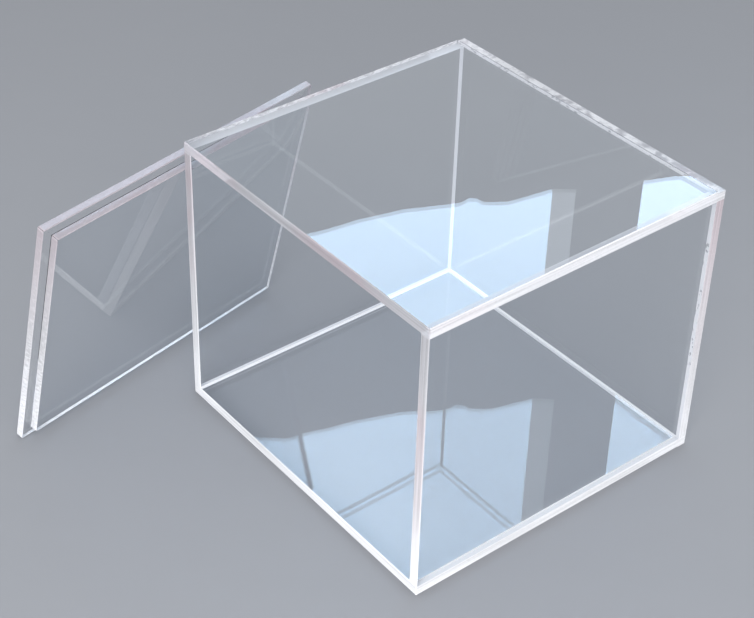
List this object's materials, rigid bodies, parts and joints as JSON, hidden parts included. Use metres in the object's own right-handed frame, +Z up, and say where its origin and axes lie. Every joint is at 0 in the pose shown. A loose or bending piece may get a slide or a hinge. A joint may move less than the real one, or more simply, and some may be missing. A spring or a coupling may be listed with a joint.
{
  "type": "acrylic box with lid",
  "caption": "Clear acrylic sheet box lying on its side with its mouth open, and its loose stepped plug lid leaning on the side wall.",
  "frame": {"origin": "centre of the box's underside, as the box lies on its side wall panel", "axes": "+X from the open mouth to the end panel, +Y across the box towards the leaning lid, +Z up"},
  "size_m": [0.1995, 0.1791, 0.114],
  "materials": {
    "clear_wall": "clear polished acrylic sheet with sawn and polished edges",
    "clear_lid": "clear polished acrylic sheet with bright sawn edges"
  },
  "bodies": {
    "box": {"end_panel": "clear_wall", "top_panel": "clear_wall", "bottom_panel": "clear_wall", "front_wall": "clear_wall", "rear_wall": "clear_wall"},
    "lid": {"lid_plate": "clear_lid", "lid_plug": "clear_lid"}
  },
  "joints": [
    {"name": "lid_lift", "type": "slide", "parent": "box", "child": "lid", "axis": [0, 0, 1], "range_m": [0, 0.15]}
  ]
}
